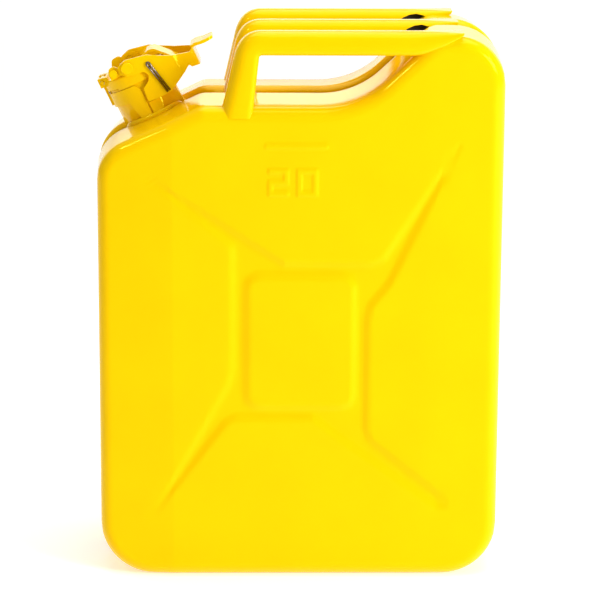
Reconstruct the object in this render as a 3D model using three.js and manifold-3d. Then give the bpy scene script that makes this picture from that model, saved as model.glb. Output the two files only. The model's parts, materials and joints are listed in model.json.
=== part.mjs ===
// Twenty litre steel jerry can: two pressed half shells joined at a recessed seam, three carrying
// handles, a tilted filling neck and a lever closure with its locking pin.
// Millimetres. X runs along the can, -X is the neck side. Y is its thickness, Z is up.
// The origin is on the floor, under the middle of the can.
import * as THREE from 'three';
import { mergeVertices } from 'three/addons/utils/BufferGeometryUtils.js';
import Module from 'manifold-3d';

const wasm = await Module();
wasm.setup();

// ---- driving dimensions -------------------------------------------------------------------------
const HALF_LENGTH = 172;
const SHELL_TOP = 468;
const HANDLE_TOP = 470;
const HALF_THICKNESS = 82.5;
const FACE_Y = 81.7;              // flat of the pressed faces; ribs stand proud of it
const SHEET = 0.9;
const GAP = 0.3;                  // clearance between pieces that touch on the real can
const SEAM_HALF_GAP = 0.15;

// side outline corners: x, z, fillet radius; a negative radius is the hollow corner
const CORNERS = [
  [-HALF_LENGTH, 0, 48],
  [HALF_LENGTH, 0, 48],
  [HALF_LENGTH, SHELL_TOP, 43],
  [109, SHELL_TOP, 20],
  [47, 410, -74],
  [-83, 410, 20],
  [-HALF_LENGTH, 368, 37],
];
const CORNER_STEPS = [7, 7, 7, 3, 6, 3, 6];

// depth profile of a half shell: distance from the seam plane and inset from the side outline
const EDGE_RADIUS = 12;
const SIDE_DRAFT = 2.4;
const GROOVE = [[20, 0], [16.5, 0.7], [13.5, 2.8], [7.5, 8.5], [5, 9.7], [SEAM_HALF_GAP, 9.9]];
const GROOVE_INSIDE = [[21, 0.9], [17, 1.6], [14.2, 3.5], [8.3, 9.2], [5.3, 10.6], [-1, 10.8]];

// pressed cross on each face
const EMBOSS_DEPTH = 3;
const CROSS = [
  [-127, 348.5], [-58.6, 291.8], [-57, 286], [-57, 183], [-60.4, 170.8], [-125, 54],
  [-62, 137], [-54.6, 141], [10.7, 141], [34.6, 122.4], [120.7, 60], [126.6, 64.5],
  [120.4, 73.4], [61, 122], [57, 131], [57, 227], [60, 239], [75.3, 257.7], [131.7, 376],
  [69, 279], [58, 275], [-12.7, 275.6],
];
const PAD = { left: -44.5, right: 45, low: 150.7, high: 264.5, radius: 11 };
const RIB = { left: -29.7, right: 22.4, low: 373, high: 376.5 };
const FOLD_LEFT = -107;
const FOLD_RIGHT = 106;
const FOLD_DROP_LEFT = 2.2;
const FOLD_DROP_RIGHT = 1.2;
const STAMP = { left: -27, low: 333, height: 23, width: 17, stroke: 4, pitch: 24 };

// filling neck: its own frame has u up along the shoulder, y across and w along the neck
const SHOULDER = Math.atan2(42, 89);
const NECK_BASE = new THREE.Vector3(-122.7, 0, 391.27);
const NECK_U = -1;
const NECK_R = 27;
const NECK_WALL = 1.6;
const NECK_LOW = -15;
const NECK_RIM = 33;
const WELD_RADIUS = 30;

// closure, in the neck's frame
const HINGE = [-29, 42.4];
const LEVER_PIVOT = [-3, 46.5];
const LID_R = 27.6;
const LID_LOW = 35.8;
const LID_TOP = 42;
const CHEEK_OUT = 31.2;
const CHEEK_IN = 29.4;
const PIN_WIRE_R = 0.9;

// handles
const HANDLE_Y = [-70, 0, 70];
const HANDLE_NAMES = ['front', 'middle', 'rear'];
const HANDLE_WIDTH = 24;
const HANDLE_EDGE = 5;
const HANDLE_WALL = 1.4;

// ---- materials ----------------------------------------------------------------------------------
const paint = () => new THREE.MeshStandardMaterial({ color: 0xffd500, roughness: 0.3, metalness: 0 });
const steel = () => new THREE.MeshStandardMaterial({ color: 0x9a9a9c, roughness: 0.35, metalness: 1 });
const rubber = () => new THREE.MeshStandardMaterial({ color: 0x1c1c1c, roughness: 0.8, metalness: 0 });
const liner = () => new THREE.MeshStandardMaterial({ color: 0x8d8f92, roughness: 0.5, metalness: 0.8 });

// ---- solids -------------------------------------------------------------------------------------
function solid(geometry) {
  geometry.deleteAttribute('normal');
  geometry.deleteAttribute('uv');
  const merged = mergeVertices(geometry, 1e-4);
  return new wasm.Manifold(new wasm.Mesh({
    numProp: 3,
    vertProperties: new Float32Array(merged.attributes.position.array),
    triVerts: new Uint32Array(merged.index.array),
  }));
}

function largest(body) {
  const parts = body.decompose();
  parts.sort((a, b) => b.volume() - a.volume());
  return parts[0];
}

const can = new THREE.Group();

function add(name, body, material) {
  const { numProp, vertProperties, triVerts } = largest(body).getMesh();
  const geometry = new THREE.BufferGeometry();
  const points = new Float32Array((vertProperties.length / numProp) * 3);
  for (let i = 0; i < points.length / 3; i += 1) {
    points.set(vertProperties.slice(i * numProp, i * numProp + 3), i * 3);
  }
  geometry.setAttribute('position', new THREE.BufferAttribute(points, 3));
  geometry.setIndex(new THREE.BufferAttribute(new Uint32Array(triVerts), 1));
  geometry.computeVertexNormals();
  const mesh = new THREE.Mesh(geometry, material);
  mesh.name = name;
  can.add(mesh);
}

function box(low, high) {
  const size = high.map((value, i) => value - low[i]);
  const geometry = new THREE.BoxGeometry(...size);
  geometry.translate(low[0] + size[0] / 2, low[1] + size[1] / 2, low[2] + size[2] / 2);
  return solid(geometry);
}

// a shape drawn in X and Z, standing between two Y values
function plate(shape, yLow, yHigh, steps = 8) {
  const geometry = new THREE.ExtrudeGeometry(shape, {
    depth: yHigh - yLow, bevelEnabled: false, curveSegments: steps,
  });
  geometry.rotateX(Math.PI / 2);
  geometry.translate(0, yHigh, 0);
  return solid(geometry);
}

// a shape drawn in X and Y, standing between two Z values
function slab(shape, low, high, steps = 8) {
  const geometry = new THREE.ExtrudeGeometry(shape, {
    depth: high - low, bevelEnabled: false, curveSegments: steps,
  });
  geometry.translate(0, 0, low);
  return solid(geometry);
}

function polygon(points) {
  return new THREE.Shape(points.map(([x, y]) => new THREE.Vector2(x, y)));
}

function roundedRect(left, right, low, high, r) {
  const shape = new THREE.Shape();
  shape.moveTo(left + r, low);
  shape.lineTo(right - r, low);
  shape.absarc(right - r, low + r, r, -Math.PI / 2, 0, false);
  shape.absarc(right - r, high - r, r, 0, Math.PI / 2, false);
  shape.absarc(left + r, high - r, r, Math.PI / 2, Math.PI, false);
  shape.absarc(left + r, low + r, r, Math.PI, 1.5 * Math.PI, false);
  return shape;
}

// a solid of revolution about the Z axis through (x, 0); profile points are radius and height
function turned(profile, x, steps) {
  const points = profile.map(([r, z]) => new THREE.Vector2(r, z));
  const geometry = new THREE.LatheGeometry(points, steps);
  geometry.rotateX(Math.PI / 2);
  geometry.translate(x, 0, 0);
  return solid(geometry);
}

function ringProfile(rIn, rOut, low, high) {
  return [[rIn, low], [rOut, low], [rOut, high], [rIn, high], [rIn, low]];
}

function discProfile(r, low, high) {
  return [[0, low], [r, low], [r, high], [0, high]];
}

// a round bar along Y
function bar(x, z, r, yLow, yHigh, steps = 20) {
  const geometry = new THREE.CylinderGeometry(r, r, yHigh - yLow, steps);
  geometry.translate(x, (yLow + yHigh) / 2, z);
  return solid(geometry);
}

// moves a solid from the neck's frame into the can's
function onNeck(body) {
  const c = Math.cos(SHOULDER);
  const s = Math.sin(SHOULDER);
  return body.transform([
    c, 0, s, 0,
    0, 1, 0, 0,
    -s, 0, c, 0,
    NECK_BASE.x, NECK_BASE.y, NECK_BASE.z, 1,
  ]);
}

// ---- side outline of the can --------------------------------------------------------------------
// the sides of a closed outline, each moved in by its own depth, and where two of them cross
function movedSides(corners, depths) {
  const count = corners.length;
  const sides = corners.map(([x, z], i) => {
    const [nextX, nextZ] = corners[(i + 1) % count];
    const along = new THREE.Vector2(nextX - x, nextZ - z).normalize();
    return { x: x - along.y * depths[i], z: z + along.x * depths[i], along };
  });
  return sides.map((after, i) => {
    const before = sides[(i + count - 1) % count];
    const turn = before.along.cross(after.along);
    const reach = ((after.x - before.x) * after.along.y - (after.z - before.z) * after.along.x) / turn;
    const x = before.x + before.along.x * reach;
    const z = before.z + before.along.y * reach;
    return { x, z, before: before.along, turn };
  });
}

// each side moves in by inset, the bottom by floorInset, and the corners are rounded again
function outline(inset, floorInset) {
  const depths = CORNERS.map((corner, i) => (i === 0 ? floorInset : inset));
  const points = [];
  movedSides(CORNERS, depths).forEach(({ x, z, before, turn }, i) => {
    const radius = CORNERS[i][2];
    const r = radius > 0 ? Math.max(radius - inset, 2) : radius - inset;
    const start = Math.atan2(-before.x * Math.sign(r), before.y * Math.sign(r));
    const sweep = Math.asin(turn);
    const tangent = Math.abs(r * Math.tan(sweep / 2));
    const centreX = x - before.x * tangent - before.y * r;
    const centreZ = z - before.y * tangent + before.x * r;
    const steps = CORNER_STEPS[i];
    for (let k = 0; k <= steps; k += 1) {
      const angle = start + (sweep * k) / steps;
      points.push([centreX + Math.abs(r) * Math.cos(angle), centreZ + Math.abs(r) * Math.sin(angle)]);
    }
  });
  return points;
}

// an outline at one distance from the seam plane; sheet is how far inside the outer skin it lies
function bodyRing(y, inset, sheet = 0) {
  return { y, points: outline(inset, Math.max(0, inset - sheet - SIDE_DRAFT) + sheet) };
}

// skins a row of outlines that run from -Y to +Y and closes both ends
function loft(rings) {
  const size = rings[0].points.length;
  const vertices = [];
  rings.forEach(({ y, points }) => points.forEach(([x, z]) => vertices.push(x, y, z)));
  const triangles = [];
  for (let i = 0; i + 1 < rings.length; i += 1) {
    for (let j = 0; j < size; j += 1) {
      const a = i * size + j;
      const b = i * size + ((j + 1) % size);
      triangles.push(a, a + size, b, b, a + size, b + size);
    }
  }
  const closeEnd = (ring, offset, flip) => {
    const contour = ring.points.map(([x, z]) => new THREE.Vector2(x, z));
    THREE.ShapeUtils.triangulateShape(contour, []).forEach(([a, b, c]) => {
      triangles.push(offset + a, offset + (flip ? c : b), offset + (flip ? b : c));
    });
  };
  closeEnd(rings[0], 0, false);
  closeEnd(rings.at(-1), (rings.length - 1) * size, true);
  return new wasm.Manifold(new wasm.Mesh({
    numProp: 3,
    vertProperties: new Float32Array(vertices),
    triVerts: new Uint32Array(triangles),
  }));
}

// one half of a shell skin: side is -1 for the front half and 1 for the rear half
function halfSkin(side, sheet, groove, grow = 0) {
  const profile = [];
  const edgeInset = EDGE_RADIUS + SIDE_DRAFT;
  const r = EDGE_RADIUS - sheet + grow;
  for (let k = 0; k <= 4; k += 1) {
    const angle = (Math.PI / 2) * (1 - k / 4);
    const stand = FACE_Y - EDGE_RADIUS;
    profile.push([stand + r * Math.sin(angle), edgeInset - r * Math.cos(angle)]);
  }
  groove.forEach(([y, inset]) => profile.push([y, inset - grow]));
  const rings = profile.map(([y, inset]) => bodyRing(side * y, inset, sheet - grow));
  return loft(side < 0 ? rings : rings.reverse());
}

// the two upright folds of a face: beyond them the face falls back a little
function foldedFront(side, sheet) {
  const face = FACE_Y - sheet;
  const edgeLeft = -HALF_LENGTH - 10;
  const edgeRight = HALF_LENGTH + 10;
  const slopeLeft = FOLD_DROP_LEFT / (HALF_LENGTH + FOLD_LEFT);
  const slopeRight = FOLD_DROP_RIGHT / (HALF_LENGTH - FOLD_RIGHT);
  const plan = polygon([
    [edgeLeft, -side * 10],
    [edgeLeft, side * (face - slopeLeft * (FOLD_LEFT - edgeLeft))],
    [FOLD_LEFT, side * face],
    [FOLD_RIGHT, side * face],
    [edgeRight, side * (face - slopeRight * (edgeRight - FOLD_RIGHT))],
    [edgeRight, -side * 10],
  ]);
  return slab(plan, -10, SHELL_TOP + 10);
}

// the sunk cross, standing between two distances from the seam plane
function crossBand(side, grow, yLow, yHigh) {
  const shape = polygon(movedSides(CROSS, CROSS.map(() => -grow)).map(({ x, z }) => [x, z]));
  const { left, right, low, high, radius } = PAD;
  shape.holes.push(roundedRect(left + grow, right - grow, low + grow, high - grow, radius));
  return side < 0 ? plate(shape, -yHigh, -yLow) : plate(shape, yLow, yHigh);
}

// the raised capacity number: strokes of a two and a nought
function raisedMarks(side) {
  const proud = HALF_THICKNESS;
  const root = FACE_Y - SHEET / 2;
  const y = side < 0 ? [-proud, -root] : [root, proud];
  const { left, low, height, width, stroke, pitch } = STAMP;
  const strokes = [];
  const mark = (x, z, dx, dz) => strokes.push([x, z, x + dx, z + dz]);
  const middle = low + (height - stroke) / 2;
  const top = low + height - stroke;
  [low, middle, top].forEach((z) => mark(left, z, width, stroke));
  mark(left + width - stroke, middle, stroke, top - middle + stroke);
  mark(left, low, stroke, middle - low + stroke);
  const second = left + pitch;
  [low, top].forEach((z) => mark(second, z, width, stroke));
  [second, second + width - stroke].forEach((x) => mark(x, low, stroke, height));
  strokes.push([RIB.left, RIB.low, RIB.right, RIB.high]);
  return strokes
    .map(([x1, z1, x2, z2]) => {
      const [near, far] = side < 0 ? [x1, x2] : [-x2, -x1];
      return box([near, y[0], z1], [far, y[1], z2]);
    })
    .reduce((sum, body) => sum.add(body));
}

const neckHole = onNeck(turned(discProfile(NECK_R + GAP, NECK_LOW - 10, 12), NECK_U, 48));

function shell(side) {
  const outer = halfSkin(side, 0, GROOVE)
    .intersect(foldedFront(side, 0))
    .subtract(crossBand(side, 0, FACE_Y - EMBOSS_DEPTH, FACE_Y + 5));
  const inner = halfSkin(side, SHEET, GROOVE_INSIDE)
    .intersect(foldedFront(side, SHEET))
    .subtract(crossBand(side, SHEET, FACE_Y - EMBOSS_DEPTH - SHEET, FACE_Y + 5));
  return outer.add(raisedMarks(side)).subtract(inner).subtract(neckHole);
}

add('front_shell', shell(-1), paint());
add('rear_shell', shell(1), paint());

// both halves as one block, grown outwards, for scribing pieces to the skin
function grownBody(grow) {
  return halfSkin(-1, 0, GROOVE, grow).add(halfSkin(1, 0, [...GROOVE.slice(0, -1), [-2, 9.9]], grow));
}
const skinClear = grownBody(GAP);

const seamLow = loft([-3, 3].map((y) => bodyRing(y, 9.6)));
const seamHigh = loft([[-2.6, 9.2], [-1.2, 8.2], [1.2, 8.2], [2.6, 9.2]].map(([y, d]) => bodyRing(y, d)));
const weldKeepOut = onNeck(turned(discProfile(WELD_RADIUS + 0.6, -40, 12), NECK_U, 48));
add('seam_weld', seamHigh.subtract(seamLow).subtract(weldKeepOut), paint());

// ---- handles ------------------------------------------------------------------------------------
// side shape of a handle: a leg that leans in, an outer bend and a bar that ends on the shoulder
function handleShape(inset) {
  const top = HANDLE_TOP - inset;
  const low = 450 + inset;
  const bend = 20 - inset;
  const shape = new THREE.Shape();
  shape.moveTo(-67.5 + inset, 398);
  shape.lineTo(-53.6 + inset, 453);
  shape.quadraticCurveTo(-50 + inset, top - 2, -50 + inset + bend, top);
  shape.lineTo(143 - inset, top);
  shape.lineTo(143 - inset, low);
  shape.lineTo(-34 - inset, low);
  shape.lineTo(-39.5 - inset, 398);
  shape.closePath();
  return shape;
}

function handleBlock(inset) {
  const edge = HANDLE_EDGE - inset;
  const geometry = new THREE.ExtrudeGeometry(handleShape(inset + edge), {
    depth: HANDLE_WIDTH - 2 * HANDLE_EDGE,
    bevelThickness: edge,
    bevelSize: edge,
    bevelSegments: 3,
    curveSegments: 6,
  });
  geometry.rotateX(Math.PI / 2);
  geometry.translate(0, HANDLE_WIDTH / 2 - HANDLE_EDGE, 0);
  return solid(geometry);
}

// the inner side of a bar is left open where it runs into the shoulder
const barWindow = polygon([[84, 440], [89, 462.5], [98, 466], [113, 461.5], [120, 448]]);
const seamClear = loft([-4, 4].map((y) => bodyRing(y, 7.8)));
// the bar's end tapers to its top where it lies down on the shoulder
const barTaper = plate(polygon([[107, 440], [150, 440], [150, 470], [143, 467.6], [107, 449.5]]), -20, 20);

HANDLE_Y.forEach((y, i) => {
  let handle = handleBlock(0).subtract(handleBlock(HANDLE_WALL)).subtract(barTaper);
  const middleY = HANDLE_WIDTH / 2;
  if (y >= 0) {
    handle = handle.subtract(plate(barWindow, -middleY - 1, -middleY + 3));
  }
  if (y <= 0) {
    handle = handle.subtract(plate(barWindow, middleY - 3, middleY + 1));
  }
  handle = handle.translate([0, y, 0]).subtract(skinClear).subtract(seamClear);
  add(`handle_${HANDLE_NAMES[i]}`, handle, paint());
});

// ---- neck ---------------------------------------------------------------------------------------
const neckWall = ringProfile(NECK_R - NECK_WALL, NECK_R, NECK_LOW, NECK_RIM);
add('neck_tube', onNeck(turned(neckWall, NECK_U, 48)), paint());

const weldRing = onNeck(turned(ringProfile(NECK_R + GAP, WELD_RADIUS, -14, 6), NECK_U, 48));
add('neck_weld', weldRing.intersect(grownBody(2.4)).subtract(skinClear), paint());

// bracket: a band round the outer side of the neck, a tongue down each flank and a hinge ear
const bandOuter = turned(ringProfile(NECK_R + GAP, NECK_R + 1.6, 1, 31), NECK_U, 48);
const bandSide = polygon([
  [-40, 18], [-14, 18], [-12.2, 11], [-10.6, 3], [-0.3, 3], [-0.3, 25], [-4, 30.5], [-40, 30.5],
]);
const earStem = box([-30.6, -6.4, 20], [-28.6, 6.4, HINGE[1] + 1]);
const earCurl = bar(...HINGE, 3.2, -6.4, 6.4);
const hingePinHole = bar(...HINGE, 1.9, -20, 20);
const bracket = bandOuter
  .intersect(plate(bandSide, -40, 40))
  .add(earStem.subtract(turned(discProfile(NECK_R + GAP, 0, 34), NECK_U, 48)))
  .add(earCurl)
  .subtract(hingePinHole);
add('hinge_bracket', onNeck(bracket), paint());
add('hinge_pin', onNeck(bar(...HINGE, 1.6, -15, 15)), steel());

// breather: a bent pipe from the mouth back to the air space under the handles, and its clip
const breatherPath = new THREE.CatmullRomCurve3([
  new THREE.Vector3(-123.2, 0, 422),
  new THREE.Vector3(-114, 0, 402),
  new THREE.Vector3(-103, 0, 383),
  new THREE.Vector3(-80, 0, 376),
  new THREE.Vector3(-40, 0, 380),
  new THREE.Vector3(20, 0, 388),
]);
function pipe(rOut, rIn) {
  const section = new THREE.Shape();
  section.absarc(0, 0, rOut, 0, 2 * Math.PI, false);
  if (rIn > 0) {
    const hole = new THREE.Path();
    hole.absarc(0, 0, rIn, 0, 2 * Math.PI, false);
    section.holes.push(hole);
  }
  return solid(new THREE.ExtrudeGeometry(section, {
    steps: 22, curveSegments: 5, extrudePath: breatherPath,
  }));
}
add('breather_tube', pipe(4.5, 3.5), liner());
const clipPlate = slab(roundedRect(2, 22, -5, 5, 3), 3, 4.6);
const insideNeck = turned(discProfile(NECK_R - NECK_WALL - GAP, 0, 12), NECK_U, 48);
const clip = clipPlate.add(slab(roundedRect(20, 30, -5, 5, 1), 3, 10)).intersect(insideNeck);
add('breather_clip', onNeck(clip).subtract(pipe(4.5 + GAP, 0)), steel());

// ---- lid, hinged on the bracket's ear -------------------------------------------------------------
const rivetHole = turned(discProfile(3.3, 20, 60), NECK_U, 16);
const lidDisc = turned([
  [0, LID_LOW], [LID_R - 0.8, LID_LOW], [LID_R, LID_LOW + 0.8], [LID_R, LID_TOP - 0.8],
  [LID_R - 0.8, LID_TOP], [0, LID_TOP],
], NECK_U, 48);
const lugBlock = box([-32.4, -14, 38.6], [-24.6, 14, 46.4]);
const earRoom = box([-40, -6.8, 30], [-25, 6.8, 60]);
const lid = lidDisc.add(lugBlock).subtract(earRoom).subtract(rivetHole).subtract(hingePinHole);
add('lid', onNeck(lid), paint());
add('lid_gasket', onNeck(turned(ringProfile(22, 26.4, 33.3, 35.5), NECK_U, 40)), rubber());
const plateBody = turned(discProfile(21.6, 33.6, 35.5), NECK_U, 40).subtract(rivetHole);
add('gasket_plate', onNeck(plateBody), liner());

// saddle on the lid: a floor and two ears that hold the lever pins
const saddleFloor = box([-19, -27.5, LID_TOP + GAP], [6, 27.5, LID_TOP + 1.8]);
const saddleEar = polygon([
  [-19.5, LID_TOP + GAP], [-20, 48], [-17.5, 52], [-13, 52.4], [-10.2, 49.5], [-7, 51.6],
  [-3, 52.6], [1, 51.6], [4, 48.5], [6, LID_TOP + GAP],
]);
const ears = plate(saddleEar, -27.5, -25.7).add(plate(saddleEar, 25.7, 27.5));
const knuckles = bar(-15.6, 46.8, 3.4, -30.5, -25.7).add(bar(-13, 48.4, 4.1, 25.7, 29));
const saddle = saddleFloor.add(ears).add(knuckles);
const leverBore = bar(...LEVER_PIVOT, 2.8, -40, 40);
add('lid_saddle', onNeck(saddle.subtract(rivetHole).subtract(leverBore)), paint());
const rivet = turned([
  [0, 31.7], [4.4, 31.7], [5, 32.3], [5, 33.3], [3, 33.3], [3, 44.1], [5.5, 44.1], [5.2, 45.4], [0, 46.2],
], NECK_U, 20);
add('lid_rivet', onNeck(rivet), steel());
[-1, 1].forEach((side) => {
  const shank = side < 0 ? [-CHEEK_OUT - 0.5, -24.5] : [24.5, CHEEK_OUT + 0.5];
  const head = side < 0 ? [-CHEEK_OUT - 2.2, -CHEEK_OUT - GAP] : [CHEEK_OUT + GAP, CHEEK_OUT + 2.2];
  const pin = bar(...LEVER_PIVOT, 2.5, ...shank).add(bar(...LEVER_PIVOT, 5, ...head, 28));
  add(`lever_pin_${side < 0 ? 'front' : 'rear'}`, onNeck(pin), paint());
});

// ---- lever: cheeks that draw together to an end wall, a low web, a humped strap and a thumb tab -----
const leverSide = polygon([
  [-10.5, 46.5], [-9.6, 42.6], [-6.2, 39.4], [0.6, 37.4], [7.4, 36.4], [9.8, 33.6], [8.4, 29.8],
  [4, 27], [1.4, 25], [0.8, 13.6], [11.9, 12.8], [22.4, 13.6], [30.7, 18], [40, 23.2], [44.4, 26],
  [46, 24.2], [54, 22.6], [54, 39.6], [52.6, 38.2], [50.8, 35.4], [36.5, 40], [27, 44.4], [17, 49.8],
  [-1.4, 53.4], [-6.4, 52.8], [-9.4, 50.2],
]);
function leverPlan(out) {
  return polygon([
    [-12, -out], [28, -out], [53.2 + (out - CHEEK_OUT) * 0.6, 13 - out],
    [53.2 + (out - CHEEK_OUT) * 0.6, out - 13], [28, out], [-12, out],
  ]);
}
const leverWalls = slab(leverPlan(CHEEK_OUT), 5, 60)
  .subtract(slab(leverPlan(CHEEK_IN), 4, 61).add(box([-13, -CHEEK_IN, 4], [0, CHEEK_IN, 61])))
  .intersect(plate(leverSide, -40, 40));
const webSide = polygon([[30, 33.6], [44, 28], [52, 25.6], [52, 27.2], [44.4, 29.6], [30, 35.2]]);
const web = plate(webSide, -40, 40).intersect(slab(leverPlan(CHEEK_IN + 0.4), 5, 60));
const humpSide = polygon([
  [7.4, 44.8], [12.6, 47.4], [18, 49.6], [22, 48.2], [33, 37], [42, 29], [42.6, 29.8], [34.4, 38.4],
  [23, 50.2], [18, 51.4], [12, 49.2], [7, 46.4],
]);
const hump = plate(humpSide, -14, 14);
const tabSide = polygon([[52, 37.6], [57, 38.2], [72, 37.2], [72, 39], [57, 40], [52, 39.4]]);
const tabPlan = roundedRect(40, 72, -16.5, 16.5, 7);
const tab = plate(tabSide, -20, 20).intersect(slab(tabPlan, 30, 50));
const lever = leverWalls.add(web).add(hump).add(tab).subtract(leverBore);
add('lever', onNeck(lever), paint());

// ---- locking pin: a hairpin of round wire lying on the front cheek ---------------------------------
const pinTip = new THREE.Vector2(21, 14.6);
const pinHead = new THREE.Vector2(14.4, 44);
const pinAlong = pinHead.clone().sub(pinTip).normalize();
const pinAcross = new THREE.Vector2(-pinAlong.y, pinAlong.x);
const pinY = -(CHEEK_OUT + GAP + PIN_WIRE_R);
const pinLength = pinHead.distanceTo(pinTip);
function pinPoint(along, across) {
  const at = pinTip.clone().addScaledVector(pinAlong, along).addScaledVector(pinAcross, across);
  return new THREE.Vector3(at.x, pinY, at.y);
}
const strand = 1.15;
const eye = 2.3;
const pinPath = new THREE.CatmullRomCurve3([
  pinPoint(0, strand), pinPoint(pinLength * 0.4, strand), pinPoint(pinLength * 0.78, strand),
  pinPoint(pinLength - eye, eye), pinPoint(pinLength, 0), pinPoint(pinLength - eye, -eye),
  pinPoint(pinLength * 0.78, -strand), pinPoint(pinLength * 0.4, -strand), pinPoint(0, -strand),
]);
const wire = new THREE.Shape();
wire.absarc(0, 0, PIN_WIRE_R, 0, 2 * Math.PI, false);
const hairpin = new THREE.ExtrudeGeometry(wire, { steps: 48, curveSegments: 4, extrudePath: pinPath });
add('locking_pin', onNeck(solid(hairpin)), steel());

export default can;
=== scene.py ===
"""Looks of the twenty litre steel jerry can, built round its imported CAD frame.

Shapes are worked out in millimetres, the CAD's units, and each piece is scaled to metres at its end.
"""
import json
import math

import bmesh
import bpy
import numpy as np
from mathutils import Matrix, Vector


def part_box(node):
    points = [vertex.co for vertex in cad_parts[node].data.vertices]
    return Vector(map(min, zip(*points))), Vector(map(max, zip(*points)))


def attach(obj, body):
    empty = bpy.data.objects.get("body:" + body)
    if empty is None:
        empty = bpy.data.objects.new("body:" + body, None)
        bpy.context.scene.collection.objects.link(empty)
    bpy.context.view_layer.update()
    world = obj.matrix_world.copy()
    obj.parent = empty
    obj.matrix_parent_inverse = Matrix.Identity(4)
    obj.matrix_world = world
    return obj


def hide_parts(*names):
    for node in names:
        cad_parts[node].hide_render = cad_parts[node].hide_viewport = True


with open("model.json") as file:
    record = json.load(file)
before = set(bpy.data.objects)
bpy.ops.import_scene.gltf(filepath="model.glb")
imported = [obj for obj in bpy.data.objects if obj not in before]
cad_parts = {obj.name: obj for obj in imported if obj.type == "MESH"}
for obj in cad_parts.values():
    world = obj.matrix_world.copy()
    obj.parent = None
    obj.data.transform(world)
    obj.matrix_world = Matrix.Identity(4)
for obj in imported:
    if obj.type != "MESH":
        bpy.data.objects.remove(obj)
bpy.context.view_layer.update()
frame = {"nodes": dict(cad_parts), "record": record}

MM = 0.001
TAU = 2 * math.pi

# ---- places read from the frame, in millimetres ----
SHELL_LOW, SHELL_HIGH = [[v / MM for v in corner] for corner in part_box("front_shell")]
HALF_LENGTH = SHELL_HIGH[0]
SHELL_TOP = SHELL_HIGH[2]
HALF_THICKNESS = -SHELL_LOW[1]
HANDLE_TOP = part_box("handle_front")[1][2] / MM

# ---- the body's outline: x along the can, z up, and the radius of each corner ----
# (negative where the outline bends inwards)
SHOULDER_RUN, SHOULDER_RISE = 89, 42
CORNERS = [
    (-HALF_LENGTH, 0, 48),
    (HALF_LENGTH, 0, 48),
    (HALF_LENGTH, SHELL_TOP, 43),
    (109, SHELL_TOP, 20),
    (47, 410, -74),
    (-83, 410, 20),
    (-HALF_LENGTH, 368, 37),
]
STAMP_HEIGHT = 0.8  # the CAD's stamp stands this far over the flat, at FACE_Y
FACE_Y = HALF_THICKNESS - STAMP_HEIGHT
EDGE_RADIUS = 12
SIDE_DRAFT = 2.4
EDGE_INSET = EDGE_RADIUS + SIDE_DRAFT
SHEET = 0.9

# the groove between the halves: its depth, and where it starts and levels out from the seam plane
GROOVE_DEPTH = 9.9
GROOVE_START, GROOVE_LEVEL = 20, 4.2
BEAD_INSET = 9.2

# upright folds: where each one is, and how far the face has fallen back when it reaches the edge
FOLDS = ((-107, 6.0), (106, 1.6))
FOLD_SOFTNESS = 1.2
FOLD_FADE_Y = 30
FACE_DOME = 0.5

CROSS = [
    (-127, 348.5), (-58.6, 291.8), (-57, 286), (-57, 183), (-60.4, 170.8), (-125, 54),
    (-62, 137), (-54.6, 141), (10.7, 141), (34.6, 122.4), (120.7, 60), (126.6, 64.5),
    (120.4, 73.4), (61, 122), (57, 131), (57, 227), (60, 239), (75.3, 257.7), (131.7, 376),
    (69, 279), (58, 275), (-12.7, 275.6),
]
CROSS_DEPTH = 2.5
CROSS_SLOPE = 4.0
PAD = (-44.5, 45, 150.7, 264.5, 11)  # left, right, low, high and corner radius

# spacing of the points on a face, finer round the stamp and at the left fold
COARSE, FINE, FOLD_PITCH, LEAST_PITCH = 2.8, 1.25, 0.8, 0.35

# ---- the neck's own frame: u up along the shoulder, y across, w along the neck ----
TILT = math.atan2(SHOULDER_RISE, SHOULDER_RUN)
NECK_BASE = Vector((-122.7, 0, 391.27))
NECK_U = -1
NECK_R = 27
NECK_HOLE_R = NECK_R + 0.3
TO_CAN = Matrix.Translation(NECK_BASE * MM) @ Matrix.Rotation(-TILT, 4, "Y") @ Matrix.Scale(MM, 4)


def neck_place(x, z):
    """Where a point of the can is in the neck's frame: u from the neck's axis, and w."""
    c, s = math.cos(TILT), math.sin(TILT)
    dx, dz = x - NECK_BASE.x, z - NECK_BASE.z
    return dx * c + dz * s - NECK_U, -dx * s + dz * c


# ---- outlines ----
def unit(v):
    return v / np.linalg.norm(v)


def smooth(t):
    t = np.clip(t, 0, 1)
    return t * t * (3 - 2 * t)


def rounded_outline(corners, inset, floor_inset, arc_steps=14):
    """The outline moved in and filleted: points, their outward normals, and the corner of each."""
    count = len(corners)
    lines = []
    for i, (x, z, _) in enumerate(corners):
        nx, nz, _ = corners[(i + 1) % count]
        along = unit(np.array([nx - x, nz - z], float))
        depth = floor_inset if i == 0 else inset
        lines.append((np.array([x, z], float) + np.array([-along[1], along[0]]) * depth, along))
    points, normals, marks = [], [], []
    for i, (_, _, radius) in enumerate(corners):
        start, before = lines[i - 1]
        end, after = lines[i]
        turn = before[0] * after[1] - before[1] * after[0]
        gap = end - start
        reach = (gap[0] * after[1] - gap[1] * after[0]) / turn
        corner = start + before * reach
        r = radius - inset
        sweep = math.asin(max(-1, min(1, turn)))
        tangent = abs(r * math.tan(sweep / 2))
        inward = np.array([-before[1], before[0]])
        centre = corner - before * tangent + inward * r
        for k in range(arc_steps + 1):
            angle = math.atan2(before[1], before[0]) - math.pi / 2 + sweep * k / arc_steps
            normal = np.array([math.cos(angle), math.sin(angle)])
            points.append(centre + normal * r)
            normals.append(normal)
            marks.append(i)
    return np.array(points), np.array(normals), marks


def groove_depth(y):
    return GROOVE_DEPTH * float(smooth((GROOVE_START - abs(y)) / (GROOVE_START - GROOVE_LEVEL)))


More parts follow.
